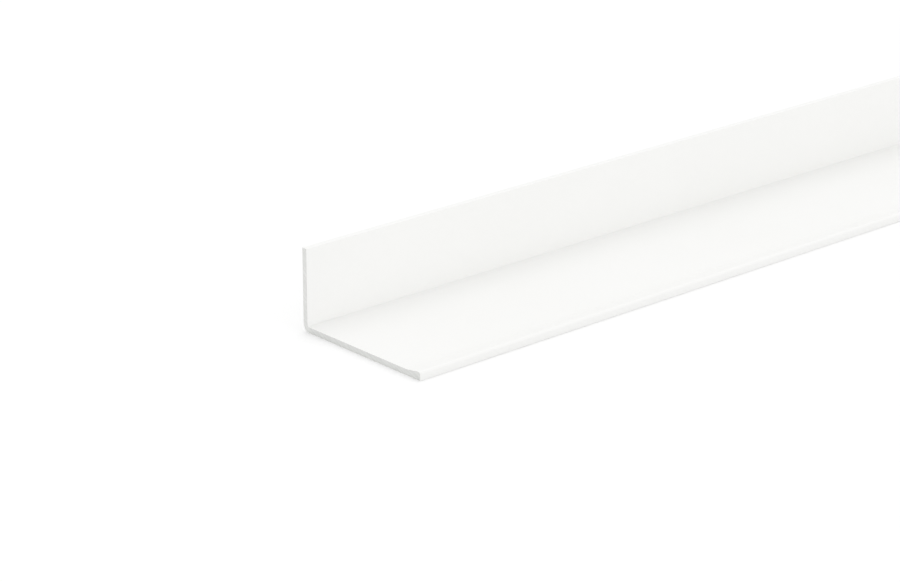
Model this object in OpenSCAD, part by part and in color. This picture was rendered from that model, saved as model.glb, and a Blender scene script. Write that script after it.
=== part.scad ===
// Aluminium angle profile with unequal legs, coated white, cut from long stock.
// The wide leg lies flat, the short leg stands up along its back edge, and the
// free edge of the wide leg is thickened into a low sloped lip with a round nose.
// The bar runs along X, the heel is at +Y, and the origin is the middle of the
// bar's outline on the floor.

/* [Stock] */
// Length of the bar
length = 1000; // [200:10:3000]
// Width of the wide leg, from the outer heel face to the free edge
wide_leg = 40; // [25:0.5:80]
// Height of the upright leg, from the underside to its top edge
upright_leg = 20; // [12:0.5:60]
// Wall thickness of both legs
wall = 1.5; // [1:0.1:3]

/* [Heel] */
// Radius of the rounded outer heel
heel_r = 2; // [0.5:0.1:3]
// Radius of the fillet in the inner corner
root_r = 0.3; // [0.2:0.1:3]

/* [Lip] */
// Rise of the lip's crest above the inner face of the wide leg
lip_rise = 0.6; // [0.3:0.1:2]
// Run of the lip, from the free edge back to the flat of the wide leg
lip_run = 4.5; // [3:0.5:12]
// Radius of the nose between the lip's crest and the free edge
nose_r = 0.7; // [0.4:0.1:1]

/* [Edges] */
// Radius of the small rounds on the upright's top edge and under the lip
edge_r = 0.1; // [0.05:0.05:0.4]

/* [Hidden] */
$fn = 96;

// Height of the lip's crest above the underside
crest = wall + lip_rise;

// Distance from each outer face of the heel to the centre of the inner fillet
root_centre = wall + root_r;

// What a round of radius r takes off the outer corner up and right of its centre
module corner_cut(r) {
    difference() {
        square(2 * r);
        circle(r);
    }
}

// Both legs and the lip with sharp corners, and the inner corner filled square
module sharp_section() {
    polygon([
        [0, 0],
        [wide_leg, 0],
        [wide_leg, crest],
        [wide_leg - nose_r, crest],
        [wide_leg - lip_run, wall],
        [root_centre, wall],
        [root_centre, root_centre],
        [wall, root_centre],
        [wall, upright_leg],
        [0, upright_leg]
    ]);
}

// Cross-section, with the square outer corner of the heel at the origin
module section() {
    difference() {
        sharp_section();
        translate([root_centre, root_centre]) circle(root_r);
        translate([heel_r, heel_r]) rotate(180) corner_cut(heel_r);
        translate([edge_r, upright_leg - edge_r]) rotate(90) corner_cut(edge_r);
        translate([wall - edge_r, upright_leg - edge_r]) corner_cut(edge_r);
        translate([wide_leg - nose_r, crest - nose_r]) corner_cut(nose_r);
        translate([wide_leg - edge_r, edge_r]) rotate(-90) corner_cut(edge_r);
    }
}

module angle_profile() {
    color("whitesmoke")
        rotate([90, 0, 90])
            linear_extrude(length, center = true)
                translate([wide_leg / 2, 0])
                    mirror([1, 0])
                        section();
}

angle_profile();
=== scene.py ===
import bpy
import numpy as np
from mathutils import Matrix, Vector


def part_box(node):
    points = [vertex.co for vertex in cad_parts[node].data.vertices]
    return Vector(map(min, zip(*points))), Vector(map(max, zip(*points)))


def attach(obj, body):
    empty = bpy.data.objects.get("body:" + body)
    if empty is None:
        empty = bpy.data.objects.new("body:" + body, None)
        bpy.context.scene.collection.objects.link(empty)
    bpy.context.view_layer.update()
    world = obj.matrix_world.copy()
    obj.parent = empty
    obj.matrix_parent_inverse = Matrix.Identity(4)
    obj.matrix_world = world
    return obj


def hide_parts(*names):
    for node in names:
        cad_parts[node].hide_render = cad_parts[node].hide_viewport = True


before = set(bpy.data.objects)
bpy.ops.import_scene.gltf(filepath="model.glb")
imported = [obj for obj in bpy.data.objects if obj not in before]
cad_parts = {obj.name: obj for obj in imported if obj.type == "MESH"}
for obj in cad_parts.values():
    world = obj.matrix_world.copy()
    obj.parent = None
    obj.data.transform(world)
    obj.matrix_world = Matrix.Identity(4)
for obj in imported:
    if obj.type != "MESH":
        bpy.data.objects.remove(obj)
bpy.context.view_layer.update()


# Bar
# One aluminium extrusion of unequal angle section: a wide leg, a short upright leg, a rounded
# heel and a sloped lip along the free edge. It is powder coated white as a long length and then
# sawn square at both ends, so the coat stops at the cut and the bare metal shows there.

bar_low, bar_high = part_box("angle_profile")
wide_leg = bar_high.y - bar_low.y
upright_leg = bar_high.z - bar_low.z
wall = 0.0015
heel_r = 0.0020
root_r = 0.0003
lip_rise = 0.0006
lip_run = 0.0045
nose_r = 0.0007
edge_r = 0.0001
crest = wall + lip_rise

coat_thickness = 0.00008
cut_edge_r = 0.00004

edge_steps = 8
upright_steps = 40
heel_steps = 14
flat_steps = 60
lip_steps = 16
through_steps = 6
cut_edge_steps = 4
length_steps = 120

# Patterns of the finishes are in cells per metre, and their depths in metres
coat_white = (0.93, 0.93, 0.918, 1.0)
coat_thin_white = (0.92, 0.92, 0.906, 1.0)
# Painted shade: a greyer white for the inner corner, where the legs meet and shade falls
painted_corner_shade = (0.89, 0.89, 0.876, 1.0)
painted_shade_reach = 0.0006
coat_roughness = (0.34, 0.42)
thickness_cells = 25
gloss_cells = 180
drawn_cells = 700
drawn_stretch = (0.01, 1, 1)
drawn_depth = 0.000002
peel_cells = 600
peel_depth = 0.000012
metal_light = (0.79, 0.795, 0.78, 1.0)
metal_dark = (0.665, 0.67, 0.655, 1.0)
metal_roughness = (0.36, 0.50)
polish_cells = 300
saw_axle = (-0.070, 0.135)
tooth_pitch = 0.0003
tooth_depth = 0.000004
noise_span = (0.3, 0.7)


def arc(centre, radius, start, stop, steps):
    """Points on a circle: the centre plus the radius times the cosine and sine of an angle
    that goes from start to stop, in degrees, in even steps."""
    angle = np.radians(np.linspace(start, stop, steps + 1))
    return np.array(centre) + radius * np.stack([np.cos(angle), np.sin(angle)], axis=-1)


def straight(start, stop, steps):
    """Points on a line from start to stop. Their share of the way is half of one minus the
    cosine of an angle from 0 to 180 degrees, which crowds them towards both ends."""
    share = (1 - np.cos(np.linspace(0, np.pi, steps + 1))) / 2
    return np.array(start) + share[:, None] * (np.array(stop) - np.array(start))


def joined(stretches):
    """One row of points from stretches that each begin where the last one ends."""
    return np.concatenate([stretch[:-1] for stretch in stretches[:-1]] + [stretches[-1]])


def wall_section(inset):
    """The section as a grid of points (station along the wall, share of the way through it).
    A station runs from the upright's top edge round the heel to the lip's nose. Each row goes
    straight from the outer face to the inner face, and both faces lie inset into the metal.
    The first number is the distance from the outer heel face, the second the height."""
    lip_foot = wide_leg - lip_run
    nose_x = wide_leg - nose_r
    root_c = wall + root_r
    outer = joined([
        arc((edge_r, upright_leg - edge_r), edge_r - inset, 90, 180, edge_steps),
        straight((inset, upright_leg - edge_r), (inset, heel_r), upright_steps),
        arc((heel_r, heel_r), heel_r - inset, 180, 270, heel_steps),
        straight((heel_r, inset), (lip_foot, inset), flat_steps),
        straight((lip_foot, inset), (wide_leg - edge_r, inset), lip_steps),
        arc((wide_leg - edge_r, edge_r), edge_r - inset, 270, 360, edge_steps),
    ])
    inner = joined([
        arc((wall - edge_r, upright_leg - edge_r), edge_r - inset, 90, 0, edge_steps),
        straight((wall - inset, upright_leg - edge_r), (wall - inset, root_c), upright_steps),
        arc((root_c, root_c), root_r + inset, 180, 270, heel_steps),
        straight((root_c, wall - inset), (lip_foot, wall - inset), flat_steps),
        straight((lip_foot, wall - inset), (nose_x, crest - inset), lip_steps),
        arc((nose_x, crest - nose_r), nose_r - inset, 90, 0, edge_steps),
    ])
    share = np.linspace(0, 1, through_steps + 1)[None, :, None]
    return outer[:, None] * (1 - share) + inner[:, None] * share


def rim(grid):
    """The border of a grid as one closed loop: down its first column, along its last row, up
    its last column and back along its first row."""
    return np.concatenate([grid[:, 0], grid[-1, 1:], grid[-2::-1, -1], grid[0, -2:0:-1]])


def placed(points, x):
    """Section points put into the frame: the heel is at the bar's highest Y."""
    x = np.broadcast_to(x, points.shape[:-1])
    return np.stack([x, bar_high.y - points[..., 0], bar_low.z + points[..., 1]], axis=-1)


def bar_mesh():
    """The section's rim carried along X, and both ends closed by the section's own grid.
    The rim moves in line with its inset, so a ring is the full rim plus its inset times the
    move for one unit. At each end the rings turn round the edge of the coat by a quarter
    circle and then step in across the cut coat to the bare metal."""
    full_rim = rim(wall_section(0.0))
    move = rim(wall_section(1.0)) - full_rim
    turn = np.linspace(0, np.pi / 2, cut_edge_steps + 1)
    end_x = np.concatenate([[0.0], cut_edge_r * (1 - np.cos(turn))])
    end_inset = np.concatenate([[coat_thickness], cut_edge_r * (1 - np.sin(turn))])
    first_x = bar_low.x + cut_edge_r
    last_x = bar_high.x - cut_edge_r
    middle = straight([first_x], [last_x], length_steps)[1:-1, 0]
    ring_x = np.concatenate([bar_low.x + end_x, middle, (bar_high.x - end_x)[::-1]])
    ring_inset = np.concatenate([end_inset, np.zeros_like(middle), end_inset[::-1]])
    rings = full_rim + ring_inset[:, None, None] * move
    skin = placed(rings, ring_x[:, None])

    round_count = len(full_rim)
    ring_start = np.arange(len(ring_x) - 1)[:, None] * round_count
    here = np.arange(round_count)[None, :]
    after = np.roll(here, -1, axis=1)
    skin_faces = np.stack([
        ring_start + here,
        ring_start + here + round_count,
        ring_start + after + round_count,
        ring_start + after,
    ], axis=-1).reshape(-1, 4)

    end_grid = wall_section(coat_thickness)
    grid_shape = end_grid.shape[:2]
    grid_index = np.arange(end_grid[..., 0].size)
    border = rim(grid_index.reshape(grid_shape))
    inside = np.setdiff1d(grid_index, border)
    inside_points = end_grid.reshape(-1, 2)[inside]
    skin_count = skin.shape[0] * round_count
    points = [skin.reshape(-1, 3)]
    faces = [skin_faces]
    ends = ((bar_low.x, 0, 1), (bar_high.x, skin_count - round_count, -1))
    for end, (x, ring, order) in enumerate(ends):
        index = np.empty_like(grid_index)
        index[border] = ring + np.arange(round_count)
        index[inside] = skin_count + end * len(inside) + np.arange(len(inside))
        index = index.reshape(grid_shape)
        corners = [index[:-1, :-1], index[1:, :-1], index[1:, 1:], index[:-1, 1:]]
        points.append(placed(inside_points, x))
        faces.append(np.stack(corners[::order], axis=-1).reshape(-1, 4))

    mesh = bpy.data.meshes.new("angle_bar")
    mesh.from_pydata(np.concatenate(points), [], np.concatenate(faces))
    is_sawn = np.zeros(len(mesh.polygons), np.int32)
    is_sawn[len(skin_faces):] = 1
    mesh.polygons.foreach_set("material_index", is_sawn)
    mesh.shade_smooth()
    mesh.update()
    return mesh


def surface(name):
    """A new material, its node tree and its Principled shader."""
    material = bpy.data.materials.new(name)
    material.use_nodes = True
    return material, material.node_tree, material.node_tree.nodes["Principled BSDF"]


def spread_noise(tree, pattern):
    """A noise texture's value, which mostly lies within the noise's span, spread from 0 to 1."""
    spread = tree.nodes.new("ShaderNodeMapRange")
    spread.inputs["From Min"].default_value = noise_span[0]
    spread.inputs["From Max"].default_value = noise_span[1]
    tree.links.new(pattern.outputs["Fac"], spread.inputs["Value"])
    return spread


def uneven_finish_group():
    """The node group of a finish that is uneven over the surface: a noise on Object coordinates
    that are stretched by a factor along each axis, spread from the value Low to the value High."""
    group = bpy.data.node_groups.new("uneven_finish", "ShaderNodeTree")
    group.interface.new_socket("Stretch", in_out="INPUT", socket_type="NodeSocketVector")
    for name in ("Scale", "Detail", "Low", "High"):
        group.interface.new_socket(name, in_out="INPUT", socket_type="NodeSocketFloat")
    group.interface.new_socket("Value", in_out="OUTPUT", socket_type="NodeSocketFloat")
    given = group.nodes.new("NodeGroupInput")
    result = group.nodes.new("NodeGroupOutput")
    coordinates = group.nodes.new("ShaderNodeTexCoord")
    mapping = group.nodes.new("ShaderNodeMapping")
    pattern = group.nodes.new("ShaderNodeTexNoise")
    spread = spread_noise(group, pattern)
    group.links.new(coordinates.outputs["Object"], mapping.inputs["Vector"])
    group.links.new(given.outputs["Stretch"], mapping.inputs["Scale"])
    group.links.new(mapping.outputs["Vector"], pattern.inputs["Vector"])
    group.links.new(given.outputs["Scale"], pattern.inputs["Scale"])
    group.links.new(given.outputs["Detail"], pattern.inputs["Detail"])
    group.links.new(given.outputs["Low"], spread.inputs["To Min"])
    group.links.new(given.outputs["High"], spread.inputs["To Max"])
    group.links.new(spread.outputs["Result"], result.inputs["Value"])
    return group


uneven_finish = uneven_finish_group()


def uneven(tree, scale, detail, limits=(0, 1), stretch=(1, 1, 1)):
    """The uneven finish placed in a material with its own values."""
    finish = tree.nodes.new("ShaderNodeGroup")
    finish.node_tree = uneven_finish
    finish.inputs["Stretch"].default_value = stretch
    finish.inputs["Scale"].default_value = scale
    finish.inputs["Detail"].default_value = detail
    finish.inputs["Low"].default_value = limits[0]
    finish.inputs["High"].default_value = limits[1]
    return finish.outputs["Value"]


def blended(tree, value, first, second):
    """A colour that goes from first to second as a value goes from 0 to 1. The first is a colour
    or another node's output."""
    blend = tree.nodes.new("ShaderNodeMix")
    blend.data_type = "RGBA"
    if isinstance(first, tuple):
        blend.inputs["A"].default_value = first
    else:
        tree.links.new(first, blend.inputs["A"])
    blend.inputs["B"].default_value = second
    tree.links.new(value, blend.inputs["Factor"])
    return blend.outputs["Result"]


def relief(tree, height, depth, below=None):
    """A bump of the given depth in metres, on top of another one where there is one."""
    bump = tree.nodes.new("ShaderNodeBump")
    bump.inputs["Distance"].default_value = depth
    tree.links.new(height, bump.inputs["Height"])
    if below:
        tree.links.new(below, bump.inputs["Normal"])
    return bump.outputs["Normal"]


def distance_from(tree, y, z):
    """The distance from a line along X at the given y and z. The mapping moves that line to the
    X axis and flattens X, so the length that is left is the distance."""
    coordinates = tree.nodes.new("ShaderNodeTexCoord")
    mapping = tree.nodes.new("ShaderNodeMapping")
    mapping.inputs["Location"].default_value = (0, -y, -z)
    mapping.inputs["Scale"].default_value = (0, 1, 1)
    distance = tree.nodes.new("ShaderNodeVectorMath")
    distance.operation = "LENGTH"
    tree.links.new(coordinates.outputs["Object"], mapping.inputs["Vector"])
    tree.links.new(mapping.outputs["Vector"], distance.inputs[0])
    return distance.outputs["Value"]


def corner_shade_mask(tree):
    """Painted shade's mask: 1 on the line where the two inner faces would meet, easing to 0 at the
    shade's reach.
    """
    fade = tree.nodes.new("ShaderNodeMapRange")
    fade.interpolation_type = "SMOOTHSTEP"
    fade.inputs["From Max"].default_value = painted_shade_reach
    fade.inputs["To Min"].default_value = 1
    fade.inputs["To Max"].default_value = 0
    tree.links.new(distance_from(tree, bar_high.y - wall, bar_low.z + wall), fade.inputs["Value"])
    return fade.outputs["Result"]


def white_coat():
    """Powder coat: a satin warm white with the faint orange peel of the melted powder, the
    drawn lines of the metal under it, and a slightly uneven thickness. Along the inner corner the
    colour is painted a shade greyer: painted shade for the dark line where the two legs meet."""
    material, tree, shader = surface("white_powder_coat")
    tone = blended(tree, uneven(tree, thickness_cells, detail=3), coat_white, coat_thin_white)
    # Painted shade: the colour greys along the inner corner to stand in for the shade there
    tone = blended(tree, corner_shade_mask(tree), tone, painted_corner_shade)
    gloss = uneven(tree, gloss_cells, detail=2, limits=coat_roughness)
    lines = uneven(tree, drawn_cells, detail=1, stretch=drawn_stretch)
    drawn = relief(tree, lines, drawn_depth)
    peel = relief(tree, uneven(tree, peel_cells, detail=1), peel_depth, drawn)
    tree.links.new(tone, shader.inputs["Base Color"])
    tree.links.new(gloss, shader.inputs["Roughness"])
    tree.links.new(peel, shader.inputs["Normal"])
    return material


def tooth_marks(tree):
    """The arcs that a circular saw leaves: a noise of the distance from the blade's axle."""
    marks = tree.nodes.new("ShaderNodeTexNoise")
    marks.noise_dimensions = "1D"
    marks.inputs["Scale"].default_value = 1 / tooth_pitch
    marks.inputs["Detail"].default_value = 2
    tree.links.new(distance_from(tree, *saw_axle), marks.inputs["W"])
    return spread_noise(tree, marks).outputs["Result"]


def sawn_metal():
    """Bare aluminium from a circular saw: light grey and dull, with fine arcs of tooth marks
    and a slightly uneven polish."""
    material, tree, shader = surface("sawn_aluminium")
    shader.inputs["Metallic"].default_value = 1.0
    marks = tooth_marks(tree)
    polish = uneven(tree, polish_cells, detail=2, limits=metal_roughness)
    tree.links.new(blended(tree, marks, metal_dark, metal_light), shader.inputs["Base Color"])
    tree.links.new(polish, shader.inputs["Roughness"])
    tree.links.new(relief(tree, marks, tooth_depth), shader.inputs["Normal"])
    return material


bar = bpy.data.objects.new("angle_bar", bar_mesh())
bpy.context.scene.collection.objects.link(bar)
bar.data.materials.append(white_coat())
bar.data.materials.append(sawn_metal())
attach(bar, "root")
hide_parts("angle_profile")


# Floor
# A wide plain sheet that the bar lies on. It is pale to the light that bounces off it, and
# white to the camera and in reflections where nothing shades it.

floor_half = 3.0
floor_pale = (0.82, 0.82, 0.82, 1.0)
floor_white = (1.0, 1.0, 1.0, 1.0)


def is_seen(tree):
    """1 for a ray from the camera, from a reflection or through glass, and 0 for the rest."""
    path = tree.nodes.new("ShaderNodeLightPath")
    first = tree.nodes.new("ShaderNodeMath")
    first.operation = "MAXIMUM"
    tree.links.new(path.outputs["Is Camera Ray"], first.inputs[0])
    tree.links.new(path.outputs["Is Glossy Ray"], first.inputs[1])
    second = tree.nodes.new("ShaderNodeMath")
    second.operation = "MAXIMUM"
    tree.links.new(first.outputs[0], second.inputs[0])
    tree.links.new(path.outputs["Is Transmission Ray"], second.inputs[1])
    return second.outputs[0]


def pale_floor():
    """A matt sheet: white where it is seen, pale where it only bounces light."""
    material, tree, shader = surface("pale_floor")
    shader.inputs["Roughness"].default_value = 1.0
    shader.inputs["Specular IOR Level"].default_value = 0.0
    tone = blended(tree, is_seen(tree), floor_pale, floor_white)
    tree.links.new(tone, shader.inputs["Base Color"])
    return material


floor_corners = floor_half * np.array([[-1, -1, 0], [1, -1, 0], [1, 1, 0], [-1, 1, 0]], float)
floor_mesh = bpy.data.meshes.new("floor")
floor_mesh.from_pydata(floor_corners, [], [(0, 1, 2, 3)])
floor_mesh.materials.append(pale_floor())
floor = bpy.data.objects.new("floor", floor_mesh)
bpy.context.scene.collection.objects.link(floor)


# Light
# A white room with even light from all round and two large soft lamps that stand far off: one
# above and behind the bar, and a low one in front of it that fills the upright leg and doesn't
# show in the gloss. A lamp's spread is in degrees.

room_white = (1.0, 1.0, 1.0, 1.0)
room_level = 0.94
soft_lamps = {
    "lamp_above": {"from": (0.2, 0.35, 1.0), "strength": 0.26, "spread": 35, "gleams": True},
    "lamp_in_front": {"from": (0.3, -1.0, 0.2), "strength": 0.32, "spread": 30, "gleams": False},
}

world = bpy.data.worlds.new("white_room")
world.use_nodes = True
room = world.node_tree
backdrop = room.nodes["Background"]
backdrop.inputs["Color"].default_value = room_white
room_strength = room.nodes.new("ShaderNodeMapRange")
room_strength.inputs["To Min"].default_value = room_level
room.links.new(is_seen(room), room_strength.inputs["Value"])
room.links.new(room_strength.outputs["Result"], backdrop.inputs["Strength"])
bpy.context.scene.world = world

for lamp_name, facts in soft_lamps.items():
    lamp_data = bpy.data.lights.new(lamp_name, "SUN")
    lamp_data.energy = facts["strength"]
    lamp_data.angle = np.radians(facts["spread"])
    lamp = bpy.data.objects.new(lamp_name, lamp_data)
    lamp.rotation_mode = "QUATERNION"
    lamp.rotation_quaternion = (-Vector(facts["from"])).to_track_quat("-Z", "Y")
    lamp.visible_glossy = facts["gleams"]
    bpy.context.scene.collection.objects.link(lamp)


# Camera
# A long lens from in front of the near end, above and to the left. Its axis meets the floor
# just inside the heel, a little way along the bar.

view_azimuth = np.radians(-41.54)
view_elevation = np.radians(20.56)
view_distance = 0.700
aim_along = 0.0416
aim_from_heel = 0.0027
lens_mm = 120.2
sensor_mm = 36
nearest_seen = 0.01
farthest_seen = 100

aim = Vector((bar_low.x + aim_along, bar_high.y - aim_from_heel, bar_low.z))
back = Vector((
    np.sin(view_azimuth) * np.cos(view_elevation),
    -np.cos(view_azimuth) * np.cos(view_elevation),
    np.sin(view_elevation),
))
camera_data = bpy.data.cameras.new("camera")
camera_data.lens = lens_mm
camera_data.sensor_width = sensor_mm
camera_data.clip_start = nearest_seen
camera_data.clip_end = farthest_seen
camera = bpy.data.objects.new("camera", camera_data)
camera.location = aim + back * view_distance
camera.rotation_mode = "QUATERNION"
camera.rotation_quaternion = (-back).to_track_quat("-Z", "Y")
bpy.context.scene.collection.objects.link(camera)
bpy.context.scene.camera = camera
bpy.context.scene.view_settings.view_transform = "Standard"
